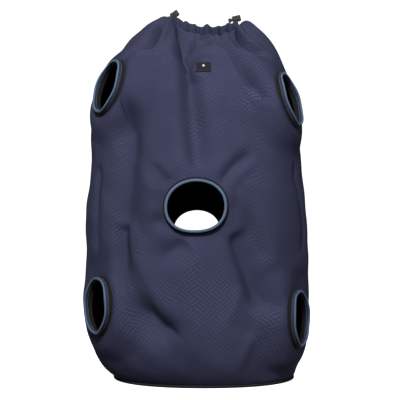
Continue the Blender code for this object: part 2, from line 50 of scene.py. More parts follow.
# Sizes, the same as the CAD model's
BAG_HALF_WIDTH = 0.2425
BAG_HALF_DEPTH = 0.205
SHOULDER_HEIGHT = 0.56
MOUTH_HEIGHT = 0.750
MOUTH_HALF_WIDTH = 0.069
MOUTH_HALF_DEPTH = 0.045
EAR_RISE = 0.0218
SIDE_SKEW = 0.0165
SKEW_FADE = 0.45
SQUARENESS = 2.2
BASE_SHARE = 0.765
BASE_ROUNDING = 0.042
BASE_SHIFT = 0.0197
BASE_SHIFT_SPREAD = 0.76
BASE_SEAM_RADIUS = 0.0030
BASE_TUCK = 0.0010
SHOULDER_STANDOFF = 0.046
SHOULDER_DEPTH_KEPT = 0.60
SHOULDER_SHIFT = 0.021
SHOULDER_LIFT = 0.43
FRONT_PUFF = 0.74
SIDE_PUFF = 0.70
SHOULDER_TAPER = 0.060
BELLY_HEIGHT = 0.27
BODY_SHIFT = -0.0077
MOUTH_SHIFT = 0.0122
SEAM_TURN = math.radians(92)
BODY_SHARE = 0.62
ROW_SPREAD = 1.35
COLLAR_RADIUS = 0.0562
COLLAR_WALL = 0.0022
COLLAR_PROUD = 0.0110
COLLAR_INSET = 0.0050
FLAT_RADIUS = 0.072
BLEND_RADIUS = 0.125
HEM_HALF_HEIGHT = 0.0100
HEM_HALF_THICKNESS = 0.0040
HEM_END_TURN = math.radians(81)
LOCK_LIFT = 0.024
LOCK_BACK = 0.0125
LOCK_TILT = {"left": math.radians(35), "right": math.radians(15)}
GAP = 0.0003
WALL_BOTTOM = 2 * BASE_SEAM_RADIUS + 2 * GAP

# Sizes of the looks alone
CLOTH = 0.0013
HEM_CLOTH = 0.0011
BASE_CLOTH = 0.0014
CALM_RADIUS, CALM_FADE = 0.060, 0.022  # no folds this near a hole's middle, and how fast they set in
LABEL_CALM, LABEL_FADE = 0.018, 0.020  # the same round the label
HEM_TUCK = 0.0045  # how far the cloth's top edge runs up into the hem
SEAM_GROOVE, SEAM_GROOVE_TURN = 0.0022, 0.016
LABEL_WIDTH, LABEL_HEIGHT, LABEL_CLOTH_THICKNESS = 0.0306, 0.0286, 0.0009
DASH_CELL = 0.0185
THREAD_PITCH = 0.00085
WELD = 0.00001
RIM_STEPS = 96

# Stitches: length, pitch and half thickness
RIM_STITCH = (0.0034, 0.0044, 0.00036)
SEAM_STITCH = (0.0032, 0.0044, 0.0004)
BASE_STITCH = (0.0040, 0.0056, 0.0004)
LABEL_STITCH = (0.0019, 0.0027, 0.00022)


# The camera and the light


def make_camera():
    data = bpy.data.cameras.new("camera")
    camera = bpy.data.objects.new("camera", data)
    bpy.context.scene.collection.objects.link(camera)
    camera.location = (0, -2.0, 0.30)
    camera.rotation_euler = (Vector((0, 0, 0.385)) - camera.location).to_track_quat("-Z", "Y").to_euler()
    data.angle = math.radians(24.79)
    data.clip_start = 0.05
    bpy.context.scene.camera = camera


def area_light(name, place, target, size, power, colour=(1, 1, 1)):
    data = bpy.data.lights.new(name, "AREA")
    data.shape = "RECTANGLE"
    data.size, data.size_y = size
    data.energy = power
    data.color = colour
    light = bpy.data.objects.new(name, data)
    bpy.context.scene.collection.objects.link(light)
    light.location = place
    light.rotation_euler = (Vector(target) - Vector(place)).to_track_quat("-Z", "Y").to_euler()


def paper(name, glow):
    """White studio paper that also glows a little, so that the background stays white."""
    made = bpy.data.materials.new(name)
    made.use_nodes = True
    shader = made.node_tree.nodes["Principled BSDF"]
    shader.inputs["Base Color"].default_value = (0.93, 0.93, 0.93, 1)
    shader.inputs["Roughness"].default_value = 0.9
    shader.inputs["Specular IOR Level"].default_value = 0.1
    shader.inputs["Emission Color"].default_value = (1, 1, 1, 1)
    shader.inputs["Emission Strength"].default_value = glow
    return made


def make_studio():
    scene = bpy.context.scene
    scene.view_settings.view_transform = "Standard"
    world = bpy.data.worlds.new("studio")
    scene.world = world
    world.use_nodes = True
    world.node_tree.nodes["Background"].inputs["Color"].default_value = (0.97, 0.98, 1.0, 1)
    world.node_tree.nodes["Background"].inputs["Strength"].default_value = 0.12
    area_light("key", (-0.30, -2.1, 1.75), (0, 0, 0.40), (0.5, 0.5), 68)
    area_light("fill", (1.9, -1.9, 0.9), (0, 0, 0.38), (1.2, 1.2), 7)
    area_light("back", (-0.1, 2.5, 0.9), (0, 0, 0.40), (1.2, 1.2), 30)
    bpy.ops.mesh.primitive_plane_add(size=15, location=(0, 0, 0))
    floor = bpy.context.object
    floor.name = "floor"
    floor.data.materials.append(paper("white_floor", 1.0))
    floor.visible_diffuse = floor.visible_glossy = False
    bpy.ops.mesh.primitive_uv_sphere_add(segments=48, ring_count=24, radius=11, location=(0, 0, 0))
    backdrop = bpy.context.object
    backdrop.name = "backdrop"
    backdrop.data.materials.append(paper("white_backdrop", 1.05))
    backdrop.visible_diffuse = backdrop.visible_glossy = False


make_camera()
make_studio()


# The shape of the bag, on arrays of turns round it and rises up it


def smooth_step(share):
    share = np.clip(share, 0, 1)
    return share * share * (3 - 2 * share)


def bump(distance, width):
    return np.exp(-((distance / width) ** 2))


def bezier(share, first, second, third, fourth):
    rest = 1 - share
    return rest**3 * first + 3 * rest**2 * share * second + 3 * rest * share**2 * third + share**3 * fourth


def signed_power(value, power):
    return np.sign(value) * np.abs(value) ** power


def body_share(height):
    swell = 1 - (1 - BASE_SHARE) * np.exp(-height / BASE_ROUNDING)
    draw_in = smooth_step((height - BELLY_HEIGHT) / (SHOULDER_HEIGHT - BELLY_HEIGHT))
    return swell * (1 - SHOULDER_TAPER * draw_in)


def body_shift(height):
    return BODY_SHIFT + BASE_SHIFT * np.exp(-height / (BASE_SHIFT_SPREAD * BASE_ROUNDING))


def skewed(x, height):
    return height - SIDE_SKEW * x / BAG_HALF_WIDTH * smooth_step(height / (SKEW_FADE * BAG_HALF_WIDTH))


def from_front(turn):
    """The turn as an angle from the front, between minus and plus half a turn."""
    return np.mod(turn + math.pi, 2 * math.pi) - math.pi


def seen_from_above(turn, half_width, half_depth, shift):
    power = 2 / SQUARENESS
    x = shift + half_width * signed_power(np.sin(turn), power)
    return x, -half_depth * signed_power(np.cos(turn), power)


def hem_height(turn):
    return MOUTH_HEIGHT + EAR_RISE * np.sin(turn) ** 2


def stacked(x, y, z):
    return np.stack(np.broadcast_arrays(x, y, z), axis=-1)


def hem_point(turn, outward=0.0, upward=0.0):
    x, y = seen_from_above(turn, MOUTH_HALF_WIDTH + outward, MOUTH_HALF_DEPTH + outward, MOUTH_SHIFT)
    return stacked(x, y, skewed(x, hem_height(turn)) + upward)


def shoulder_point(turn, share):
    wide, deep = BAG_HALF_WIDTH * (1 - SHOULDER_TAPER), BAG_HALF_DEPTH * (1 - SHOULDER_TAPER)
    led_in = MOUTH_HALF_WIDTH + HEM_HALF_THICKNESS + SHOULDER_STANDOFF
    half_width = bezier(share, wide, wide, led_in, MOUTH_HALF_WIDTH + 0.001)
    half_depth = bezier(share, deep, deep, SHOULDER_DEPTH_KEPT * deep, MOUTH_HALF_DEPTH + 0.001)
    shift = bezier(share, BODY_SHIFT, BODY_SHIFT, SHOULDER_SHIFT, MOUTH_SHIFT)
    x, y = seen_from_above(turn, half_width, half_depth, shift)
    climb = MOUTH_HEIGHT - SHOULDER_HEIGHT
    top = hem_height(turn) - HEM_HALF_HEIGHT - GAP
    middle = SHOULDER_HEIGHT + climb * (FRONT_PUFF + SIDE_PUFF * np.sin(turn) ** 2)
    height = bezier(share, SHOULDER_HEIGHT, SHOULDER_HEIGHT + SHOULDER_LIFT * climb, middle, top)
    return stacked(x, y, skewed(x, height))


def body_point(turn, rise):
    height = WALL_BOTTOM + (SHOULDER_HEIGHT - WALL_BOTTOM) * np.clip(rise / BODY_SHARE, 0, 1) ** ROW_SPREAD
    share = body_share(height)
    x, y = seen_from_above(turn, BAG_HALF_WIDTH * share, BAG_HALF_DEPTH * share, body_shift(height))
    return stacked(x, y, skewed(x, height))


def wall_point(turn, rise):
    turn, rise = np.asarray(turn, float), np.asarray(rise, float)
    above = np.clip((rise - BODY_SHARE) / (1 - BODY_SHARE), 0, 1)
    return np.where((rise > BODY_SHARE)[..., None], shoulder_point(turn, above), body_point(turn, rise))


def rise_at(turn, height):
    low, high = 0.0, 1.0
    for _ in range(40):
        middle = (low + high) / 2
        point = wall_point(turn, middle)
        if point[2] < skewed(point[0], height):
            low = middle
        else:
            high = middle
    return low


FRONT_OUTLINE = (1.0, 1.02, 1.0, 1.01, 1.02, 1.075, 0.995, 1.03)
SIDE_OUTLINE = (1.0, 1.0, 0.99, 1.01, 1.0, 0.99, 1.03, 0.99)


class Hole:
    """A feeding hole: its middle, the way it faces, its sideways and upward directions, and the outline of its rim.
    The angles are in degrees."""

    def __init__(self, name, turn, height, facing, lean, oval=(1, 1), outline=SIDE_OUTLINE):
        turn, facing, lean = (math.radians(angle) for angle in (turn, facing, lean))
        self.name = name
        self.middle = wall_point(turn, rise_at(turn, height))
        level = math.cos(lean)
        self.out = np.array([math.sin(facing) * level, -math.cos(facing) * level, math.sin(lean)])
        self.side = np.cross([0, 0, 1], self.out)
        self.side /= np.linalg.norm(self.side)
        self.up = np.cross(self.out, self.side)
        self.oval = oval
        self.outline = outline

    def outline_at(self, angle):
        """How far out the rim's outline lies at this angle, as a share of a circle."""
        keys = np.array(self.outline)
        spot = np.mod(angle, 2 * math.pi) / (2 * math.pi) * len(keys)
        first = np.floor(spot).astype(int)
        t = spot - first
        a, b, c, d = (keys[(first + i) % len(keys)] for i in (-1, 0, 1, 2))
        return b + 0.5 * t * (c - a + t * (2 * a - 5 * b + 4 * c - d + t * (3 * (b - c) + d - a)))

    def offsets(self, point):
        """A point's offset from the middle, and where that lies sideways and upward on a round collar."""
        offset = np.array(point) - self.middle
        return offset, offset @ self.side / self.oval[0], offset @ self.up / self.oval[1]

    def place(self, x, y, z):
        """World point of a point on a round collar: its sideways and upward offsets, and its height off the cloth."""
        angle = np.arctan2(y, x)
        rim = COLLAR_RADIUS * self.outline_at(angle)
        past_rim = np.hypot(x, y) - COLLAR_RADIUS
        spread_x = self.oval[0] * np.cos(angle) * rim + past_rim * np.cos(angle)
        spread_y = self.oval[1] * np.sin(angle) * rim + past_rim * np.sin(angle)
        waver = 0.0012 * np.sin(2 * angle + 1.3) + 0.0008 * np.sin(5 * angle)
        z = z + waver * smooth_step(z / COLLAR_PROUD)
        return self.middle + spread_x[..., None] * self.side + spread_y[..., None] * self.up + z[..., None] * self.out


HOLES = {
    hole.name: hole
    for hole in (
        Hole("front", 0, 0.364, 0, 0, (1.06, 0.92), FRONT_OUTLINE),
        Hole("back", 180, 0.321, 180, 0, (1.06, 0.92)),
        Hole("upper_left", -53, 0.602, -61, 16),
        Hole("upper_right", 57.5, 0.602, 68, 16),
        Hole("lower_left", -53, 0.150, -61, 2),
        Hole("lower_right", 57.5, 0.150, 68, 2),
    )
}


# Folds in the cloth


class Fold:
    """A crease that runs along stations of (turn in degrees, rise): its depth, how wide it is on the side
    that a walker along it has on the right and on the left, the ridges beside it as a share of its depth,
    and its strength at both ends."""

    def __init__(self, stations, depth, right, left, ridges=(0.0, 0.0), ends=(1.0, 1.0)):
        self.stations, self.depth, self.right, self.left = stations, depth, right, left
        self.ridges, self.ends = ridges, ends


FOLDS = [
    # from the left lobe down to the front hole
    Fold(((-40, 0.99), (-25, 0.945), (-15, 0.858), (-6, 0.778), (-2, 0.645), (-0.5, 0.565), (2, 0.50)),
         0.0330, 0.0185, 0.022, (0.18, 0), (1.0, 0.60)),
    Fold(((-33, 0.97), (-24, 0.94), (-15, 0.862), (-6, 0.785), (-2.5, 0.69)),
         0.0060, 0.0060, 0.0050, (0, 0), (1.2, 0.6)),
    # between the left lobe and the front
    Fold(((-62, 0.955), (-52, 0.90), (-43, 0.85), (-40, 0.808), (-45, 0.772), (-55, 0.756)),
         0.0270, 0.018, 0.0065, (0.1, 0.35), (1.1, 0.8)),
    Fold(((-38, 0.79), (-45, 0.742)), 0.0060, 0.005, 0.006),
    Fold(((-46, 0.780), (-39, 0.690), (-35, 0.620), (-33, 0.545), (-34, 0.46), (-37, 0.38)),
         0.0270, 0.028, 0.022, (0, 0.15), (0.85, 0.5)),
    # from the right of the mouth down to the upper right hole
    Fold(((9, 0.985), (15, 0.90), (19.5, 0.85), (23, 0.784), (27, 0.715), (32, 0.662), (40, 0.632)),
         0.0370, 0.0068, 0.0190, (0.20, 0.10), (0.6, 1.0)),
    # under the right lobe
    Fold(((42, 0.985), (36, 0.94), (36, 0.89), (39, 0.86), (46, 0.828), (57, 0.804)),
         0.0260, 0.014, 0.0065, (0, 0.35), (1.1, 0.7)),
    Fold(((34, 0.858), (42, 0.776), (50, 0.725)), -0.0040, 0.008, 0.006),
    # the hollow under the hem
    Fold(((-24, 0.955), (-12, 0.925), (0, 0.925), (9, 0.895)), 0.0190, 0.011, 0.010, (0, 0), (1.2, 0.7)),
    Fold(((-14, 0.868), (0, 0.850), (12, 0.838)), 0.0060, 0.009, 0.015),
    Fold(((2, 0.975), (12, 0.925), (18, 0.873)), -0.0080, 0.007, 0.005),
    Fold(((-10, 0.99), (-6, 0.955)), 0.0080, 0.004, 0.004),
    Fold(((24, 0.985), (27, 0.93), (31, 0.865)), 0.0075, 0.008, 0.0045, (0.3, 0.2), (1.2, 0.4)),
    # round the front hole
    Fold(((3, 0.49), (-3, 0.552)), 0.0050, 0.007, 0.007),
    Fold(((8.5, 0.48), (15, 0.515), (24, 0.543), (32, 0.552)),
         0.0150, 0.009, 0.013, (0.25, 0.2), (1.1, 0.35)),
    Fold(((-9.5, 0.48), (-17, 0.507), (-25, 0.520)), 0.0140, 0.009, 0.015, (0.2, 0.3), (1.1, 0.35)),
    Fold(((-10, 0.42), (-23, 0.408)), 0.0120, 0.014, 0.014, (0.2, 0.2)),
    Fold(((-3, 0.385), (-11, 0.352), (-22, 0.340)), 0.0130, 0.018, 0.024, (0.1, 0), (1.0, 0.6)),
    Fold(((13, 0.47), (22, 0.429), (28, 0.385), (34, 0.335)),
         0.0150, 0.028, 0.018, (0.0, 0.15), (0.8, 0.7)),
    # the lower half
    Fold(((-37, 0.41), (-36, 0.35), (-32, 0.295), (-26, 0.245), (-17, 0.198), (-6, 0.158)),
         0.0260, 0.024, 0.0170, (0, 0.16), (0.7, 0.95)),
    Fold(((-13, 0.195), (-3, 0.155)), 0.0050, 0.006, 0.006),
    Fold(((15, 0.405), (23, 0.326), (31, 0.265), (52, 0.240)), 0.0280, 0.016, 0.032, (0.15, 0), (0.5, 0.8)),
    Fold(((20, 0.301), (15, 0.238), (10, 0.17)), -0.0040, 0.012, 0.012),
    Fold(((27, 0.198), (22, 0.14), (17, 0.05)), -0.0050, 0.014, 0.014),
    Fold(((36, 0.190), (48, 0.218)), 0.0050, 0.006, 0.005),
    Fold(((-60, 0.52), (-58, 0.42), (-60, 0.33)), 0.0060, 0.014, 0.012),
    Fold(((62, 0.55), (68, 0.45), (66, 0.36)), 0.0060, 0.014, 0.012),
    # the back
    Fold(((200, 0.975), (196, 0.87), (188, 0.70), (182, 0.52)), 0.0110, 0.014, 0.008, (0.3, 0), (1.2, 0.5)),
    Fold(((158, 0.97), (150, 0.86), (146, 0.76), (152, 0.66)),
         0.0110, 0.009, 0.014, (0.3, 0.1), (1.1, 0.5)),
    Fold(((222, 0.97), (230, 0.87), (238, 0.80)), 0.0090, 0.012, 0.008, (0.1, 0.3), (1.1, 0.5)),
    Fold(((194, 0.36), (210, 0.28), (226, 0.22)), 0.0090, 0.018, 0.012, (0, 0.3), (0.8, 0.6)),
    Fold(((166, 0.37), (150, 0.31), (140, 0.22)), 0.0080, 0.013, 0.020, (0.2, 0.2), (0.8, 0.6)),
]


def through(points, pieces=7):
    """A smooth path through these points."""
    ends = np.array([2 * points[0] - points[1], *points, 2 * points[-1] - points[-2]])
    share = np.linspace(0, 1, pieces, endpoint=False)[:, None]
    path = []
    for before, start, stop, after in zip(ends, ends[1:], ends[2:], ends[3:]):
        bend = 2 * before - 5 * start + 4 * stop - after
        twist = share * (3 * (start - stop) + after - before)
        path.append(start + 0.5 * share * (stop - before + share * (bend + twist)))
    return np.concatenate([*path, points[-1:]])


def beside_line(points, line):
    """Each point's distance from the line, signed + on its left, and the share of the line's length run there."""
    best = np.full(len(points), 1e9)
    along, side = np.zeros(len(points)), np.ones(len(points))
    lengths = np.linalg.norm(np.diff(line, axis=0), axis=1)
    done = 0.0
    for start, stop, length in zip(line, line[1:], lengths):
        way = (stop - start) / length
        offset = points - start
        t = np.clip(offset @ way, 0, length)
        away = np.linalg.norm(offset - t[:, None] * way, axis=1)
        nearer = away < best
        out = points[nearer] * (1, 1, 0)
        best[nearer], along[nearer] = away[nearer], (done + t[nearer]) / lengths.sum()
        side[nearer] = np.sign((np.cross(way, offset[nearer]) * out).sum(1) + 1e-12)
        done += length
    return best * side, along


def folds(points):
    """How far each point is pushed out of the smooth wall by folds."""
    push = np.zeros(len(points))
    for fold in FOLDS:
        turns, rises = np.array(fold.stations, float).T
        line = wall_point(*through(np.stack([np.radians(turns), rises], axis=-1)).T)
        reach = 4 * max(fold.left, fold.right)
        near = ((points > line.min(0) - reach) & (points < line.max(0) + reach)).all(1)
        if not near.any():
            continue
        away, along = beside_line(points[near], line)
        length = np.linalg.norm(np.diff(line, axis=0), axis=1).sum()
        fade = smooth_step(along * length / 0.024 + 0.1) * smooth_step((1 - along) * length / 0.045)
        strength = fold.depth * (fold.ends[0] + (fold.ends[1] - fold.ends[0]) * along) * fade
        width = np.where(away > 0, fold.left, fold.right) * (0.85 + 0.3 * along)
        shape = -bump(away, width)
        shape += fold.ridges[0] * bump(away + 2.0 * fold.right, 1.1 * fold.right)
        shape += fold.ridges[1] * bump(away - 2.0 * fold.left, 1.1 * fold.left)
        push[near] += strength * shape
    return push


def pleats(turn):
    return np.sin(23 * turn + 0.9 * np.sin(3 * turn + 0.4)) * (1 + 0.4 * np.sin(5 * turn + 1.1))


def gathers(turn, rise):
    """Small pleats that run down from the drawn-up hem and merge into fewer, broader ones."""
    near = np.clip((rise - 0.70) / 0.30, 0, 1)
    broad = np.sin(11 * turn + 1.1 * np.sin(2 * turn)) + 0.5 * np.sin(7 * turn + 2.0)
    return 0.0026 * pleats(turn) * near**3.2 + 0.0030 * broad * near**1.8 * (1 - 0.7 * near)


def lobes(turn, rise):
    """How far the cloth puffs up beside the hem, in front of the two cord locks and behind them."""
    across = np.degrees(from_front(turn))
    left = 0.0150 * bump(across + 58, 24) + 0.0060 * bump(across + 125, 25)
    right = 0.0120 * bump(across - 60, 25) + 0.0060 * bump(across - 125, 25)
    return (left + right) * bump(rise - 0.945, 0.042) * smooth_step((1 - rise) / 0.03)


def softness(points):
    """Slow swells that keep a filled cloth wall from looking turned."""
    x, y, z = points.T
    slow = 0.0018 * np.sin(23 * x + 9 * z + 0.7) + 0.0015 * np.sin(31 * z - 14 * x + 5 * y)
    quick = 0.0010 * np.sin(47 * x + 37 * z + 11 * y) + 0.0005 * np.sin(91 * z + 63 * x - 40 * y)
    return slow + quick


def flat_at_holes(points):
    """Moves points near each collar into its plane, and says how near the nearest collar is (1 at it, 0 away)."""
    nearest = np.zeros(len(points))
    for hole in HOLES.values():
        away = np.linalg.norm(points - hole.middle, axis=1)
        flat = 1 - smooth_step((away - FLAT_RADIUS) / (BLEND_RADIUS - FLAT_RADIUS))
        points = points + hole.out * (((hole.middle - points) @ hole.out) * flat)[:, None]
        nearest = np.maximum(nearest, 1 - smooth_step((away - CALM_RADIUS) / CALM_FADE))
    return points, nearest


LABEL_TURN = math.radians(1.0)
LABEL_RISE = rise_at(LABEL_TURN, 0.650)
LABEL_SPOT = wall_point(LABEL_TURN, LABEL_RISE)


def cloth_surface(turn, rise):
    """Points of the finished cloth, with its folds."""
    step = 0.004
    points, near = flat_at_holes(wall_point(turn, rise))
    beside, _ = flat_at_holes(wall_point(turn + step, rise))
    above, _ = flat_at_holes(wall_point(turn, np.minimum(rise + step, 1.0)))
    below, _ = flat_at_holes(wall_point(turn, np.maximum(rise - step, 0.0)))
    normal = np.cross(beside - points, above - below)
    normal /= np.linalg.norm(normal, axis=1)[:, None] + 1e-12
    ends = smooth_step(rise / 0.06) * smooth_step((1.0 - rise) / 0.05)
    creases = folds(points) * smooth_step((1.0 - rise) / 0.03)
    push = (creases + softness(points) * ends) * smooth_step(rise / 0.04)
    from_label = np.linalg.norm(points - LABEL_SPOT, axis=1)
    stiff = 1 - smooth_step((from_label - LABEL_CALM) / LABEL_FADE)
    push = push * (1 - 0.9 * near) * (1 - 0.85 * stiff) + gathers(turn, rise)
    push -= SEAM_GROOVE * bump(np.abs(from_front(turn)) - SEAM_TURN, SEAM_GROOVE_TURN) * (1 - near)
    points = points + normal * push[:, None]
    points[:, 2] += lobes(turn, rise) + HEM_TUCK * smooth_step((rise - 0.975) / 0.025)
    return points


# Materials


class Paint:
    """A material's shader and the nodes that feed it."""

    def __init__(self, name):
        self.material = bpy.data.materials.new(name)
        self.material.use_nodes = True
        self.tree = self.material.node_tree
        self.shader = self.tree.nodes["Principled BSDF"]
        self.place = self.node("ShaderNodeTexCoord").outputs["Object"]

    def fill(self, made, **values):
        """Gives a node's sockets numbers, colours or what other nodes put out."""
        for name, value in values.items():
            socket = made.inputs[name.replace("_", " ")]
            if isinstance(value, (int, float)):
                socket.default_value = value
            elif isinstance(value, tuple):
                socket.default_value = (*value, 1)
            else:
                self.tree.links.new(value, socket)
        return made

    def node(self, kind, settings=(), **values):
        made = self.tree.nodes.new(kind)
        for name, value in dict(settings).items():
            setattr(made, name, value)
        return self.fill(made, **values)

    def math(self, operation, *values):
        made = self.node("ShaderNodeMath", {"operation": operation})
        for socket, value in zip(made.inputs, values):
            if isinstance(value, (int, float)):
                socket.default_value = value
            else:
                self.tree.links.new(value, socket)
        return made.outputs[0]

    def mix(self, kind, share, first, second):
        return self.node("ShaderNodeMix", {"data_type": kind}, Factor=share, A=first, B=second).outputs["Result"]

    def noise(self, **values):
        return self.node("ShaderNodeTexNoise", Vector=self.place, **values).outputs["Fac"]

    def map_range(self, value, way="LINEAR", **values):
        return self.node("ShaderNodeMapRange", {"interpolation_type": way}, Value=value, **values).outputs[0]

    def relief(self, height, strength, distance):
        made = self.node("ShaderNodeBump", Height=height, Strength=strength, Distance=distance)
        self.fill(self.shader, Normal=made.outputs[0])


def dash_lines(paint, across, along):
    """Three short parallel lines in a cell, which stop short of its edges."""
    phase = paint.math("MULTIPLY", across, 3.0)
    wave = paint.math("ABSOLUTE", paint.math("SUBTRACT", paint.math("FRACT", phase), 0.5))
    line = paint.map_range(wave, "SMOOTHSTEP", From_Min=0.085, From_Max=0.03)
    end = paint.math("ABSOLUTE", paint.math("SUBTRACT", along, 0.5))
    stop = paint.map_range(end, "SMOOTHSTEP", From_Min=0.47, From_Max=0.42)
    return paint.math("MULTIPLY", line, stop)


def dash_pattern(paint, across, up):
    """Cells at 45 degrees, whose lines run along in one cell and across in the next, faded out in patches by noise.
    """
    diagonal = paint.math("MULTIPLY", paint.math("ADD", across, up), 0.7071)
    other = paint.math("MULTIPLY", paint.math("SUBTRACT", across, up), 0.7071)
    u, v = paint.math("DIVIDE", diagonal, DASH_CELL), paint.math("DIVIDE", other, DASH_CELL)
    u_in, v_in = paint.math("FRACT", u), paint.math("FRACT", v)
    cells = paint.math("ADD", paint.math("FLOOR", u), paint.math("FLOOR", v))
    parity = paint.math("FLOORED_MODULO", cells, 2.0)
    lines = paint.mix("FLOAT", parity, dash_lines(paint, v_in, u_in), dash_lines(paint, u_in, v_in))
    patch_noise = paint.noise(Scale=8.0, Detail=2.0, Roughness=0.6)
    return paint.math("MULTIPLY", lines, paint.map_range(patch_noise, From_Min=0.45, From_Max=0.60, To_Min=0.12))


def cloth_material(name, dark, light, dash_highlight_colour, dash_strength, weave_depth):
    """Matt woven polyester: fine threads, slow random changes of tone and an embossed pattern of short dashes, whose
    lines are lightened as a painted sheen.
    """
    paint = Paint(name)
    uv = paint.node("ShaderNodeUVMap", {"uv_map": "cloth"}).outputs[0]
    across, up = paint.node("ShaderNodeSeparateXYZ", Vector=uv).outputs[:2]
    dashes = dash_pattern(paint, across, up)
    thread = 2 * math.pi / THREAD_PITCH
    warp, weft = (paint.math("SINE", paint.math("MULTIPLY", way, thread)) for way in (across, up))
    weave = paint.math("MULTIPLY", warp, weft)
    slow = paint.noise(Scale=7.0, Detail=3.0, Roughness=0.55)
    slub = paint.noise(Scale=900.0, Detail=2.0, Roughness=0.6)
    base = paint.mix("RGBA", paint.map_range(slow, From_Min=0.30, From_Max=0.70), dark, light)
    base = paint.mix("RGBA", paint.math("MULTIPLY", slub, 0.32), base, tuple(0.55 * c for c in dark))
    # The dashes are mixed towards the line colour: a painted highlight for the sheen of the glazed lines.
    base = paint.mix("RGBA", paint.math("MULTIPLY", dashes, dash_strength), base, dash_highlight_colour)
    roughness = paint.map_range(dashes, To_Min=0.72, To_Max=0.50)
    paint.fill(paint.shader, Base_Color=base, Roughness=roughness, Specular_IOR_Level=0.10)
    threads = paint.math("MULTIPLY", weave, weave_depth)
    height = paint.math("ADD", threads, paint.math("MULTIPLY", dashes, -0.55))
    paint.relief(paint.math("ADD", height, paint.math("MULTIPLY", slub, 0.35)), 0.55, 0.0004)
    return paint.material


def plain_weave_material(name, dark, light, scale, roughness, depth, sheen=0.2):
    """Tape, webbing, braid, thread or backing: fine irregular relief and shade."""
    paint = Paint(name)
    noise = paint.noise(Scale=scale, Detail=4.0, Roughness=0.65)
    cells = paint.node("ShaderNodeTexVoronoi", Vector=paint.place, Scale=scale * 1.7).outputs["Distance"]
    base = paint.mix("RGBA", paint.map_range(noise, From_Min=0.35, From_Max=0.68), dark, light)
    paint.relief(paint.math("ADD", noise, paint.math("MULTIPLY", cells, 0.8)), 0.6, depth)
    paint.fill(paint.shader, Base_Color=base, Roughness=roughness, Specular_IOR_Level=0.3)
    paint.fill(paint.shader, Sheen_Weight=sheen, Sheen_Roughness=0.4)
    return paint.material


def grained_material(name, dark, light, roughness, grain_depth=0.0, metallic=0.0, **grain):
    """Plastic or steel, with a grain in its roughness."""
    paint = Paint(name)
    noise = paint.noise(**grain)
    rough = paint.map_range(noise, To_Min=roughness[0], To_Max=roughness[1])
    base = paint.mix("RGBA", noise, dark, light)
    paint.fill(paint.shader, Base_Color=base, Roughness=rough, Metallic=metallic)
    if grain_depth:
        paint.relief(noise, 0.25, grain_depth)
    return paint.material


# The third colour of each cloth is the painted highlight of its dash lines.
NAVY = cloth_material(
    "navy_embossed_cloth", (0.040, 0.043, 0.088), (0.052, 0.055, 0.110), (0.150, 0.156, 0.250), 0.52, 0.8
)
NAVY_HEM = cloth_material(
    "navy_hem_cloth", (0.034, 0.036, 0.072), (0.046, 0.048, 0.090), (0.08, 0.08, 0.13), 0.10, 0.8
)
# name, dark, light, scale, roughness, depth and, where it isn't 0.2, sheen
BACKING_AND_SHADE, WEBBING, TAPE_SHADED_COPY, TAPE_BLUE, THREAD, THREAD_NAVY, BRAID, LABEL_CLOTH, LABEL_SILVER = (
    plain_weave_material(*row)
    for row in (
        # Near black: partly the dark coated back of the cloth, partly painted shade for the inside of the bag.
        ("black_coated_backing", (0.006, 0.006, 0.009), (0.012, 0.012, 0.017), 700.0, 0.75, 0.0003, 0.05),
        ("black_ribbed_webbing", (0.004, 0.0035, 0.005), (0.011, 0.009, 0.011), 650.0, 0.9, 0.0006, 0.02),
        # Painted shade: a much darker copy of the binding tape's blue, for the tape's outer and inner faces where
        # they turn away from the light.
        ("binding_tape_painted_shade", (0.010, 0.017, 0.040), (0.018, 0.028, 0.062), 900.0, 0.7, 0.0003, 0.02),
        ("pale_blue_binding_tape", (0.070, 0.115, 0.195), (0.105, 0.160, 0.255), 1100.0, 0.65, 0.0004, 0.05),
        ("grey_thread", (0.12, 0.14, 0.18), (0.20, 0.225, 0.27), 2600.0, 0.6, 0.0002),
        ("navy_thread", (0.060, 0.064, 0.115), (0.095, 0.100, 0.160), 2600.0, 0.6, 0.0002),
        ("black_braided_cord", (0.008, 0.008, 0.009), (0.022, 0.022, 0.025), 1400.0, 0.7, 0.0004),
        ("black_woven_label", (0.007, 0.006, 0.010), (0.013, 0.011, 0.018), 1500.0, 0.8, 0.0002, 0.0),
        ("silver_label_thread", (0.42, 0.43, 0.45), (0.62, 0.63, 0.65), 2200.0, 0.45, 0.0002),
    )
)
PLASTIC = grained_material(
    "black_moulded_plastic", (0.005, 0.005, 0.006), (0.009, 0.009, 0.010), (0.55, 0.75), 0.0001,
    Scale=1800.0, Detail=3.0,
)
STEEL = grained_material(
    "drawn_spring_steel", (0.50, 0.51, 0.53), (0.60, 0.61, 0.63), (0.2, 0.4), metallic=1.0, Scale=3000.0
)


# Making pieces


def corners(obj):
    places = np.empty(len(obj.data.vertices) * 3)
    obj.data.vertices.foreach_get("co", places)
    return places.reshape(-1, 3)


def move_corners(obj, places):
    obj.data.vertices.foreach_set("co", np.ascontiguousarray(places, float).reshape(-1))
    obj.data.update()


def named(name):
    """The object just added, named and left unselected."""
    obj = bpy.context.object
    obj.name = obj.data.name = name
    obj.select_set(False)
    return obj


def grid_piece(name, columns, rows):
    """A flat grid, and each corner's share of the way across it and up it."""
    bpy.ops.mesh.primitive_grid_add(x_subdivisions=columns, y_subdivisions=rows, size=1)
    obj = named(name)
    places = corners(obj)
    return obj, places[:, 0] + 0.5, places[:, 1] + 0.5


def write_uv(obj, name, pairs):
    """Gives every face corner the pair of its vertex."""
    layer = obj.data.uv_layers.new(name=name)
    index = np.empty(len(obj.data.loops), int)
    obj.data.loops.foreach_get("vertex_index", index)
    layer.data.foreach_set("uv", np.ascontiguousarray(pairs[index], float).reshape(-1))


def apply(obj, modifier):
    bpy.context.view_layer.objects.active = obj
    bpy.ops.object.modifier_apply(modifier=modifier.name)


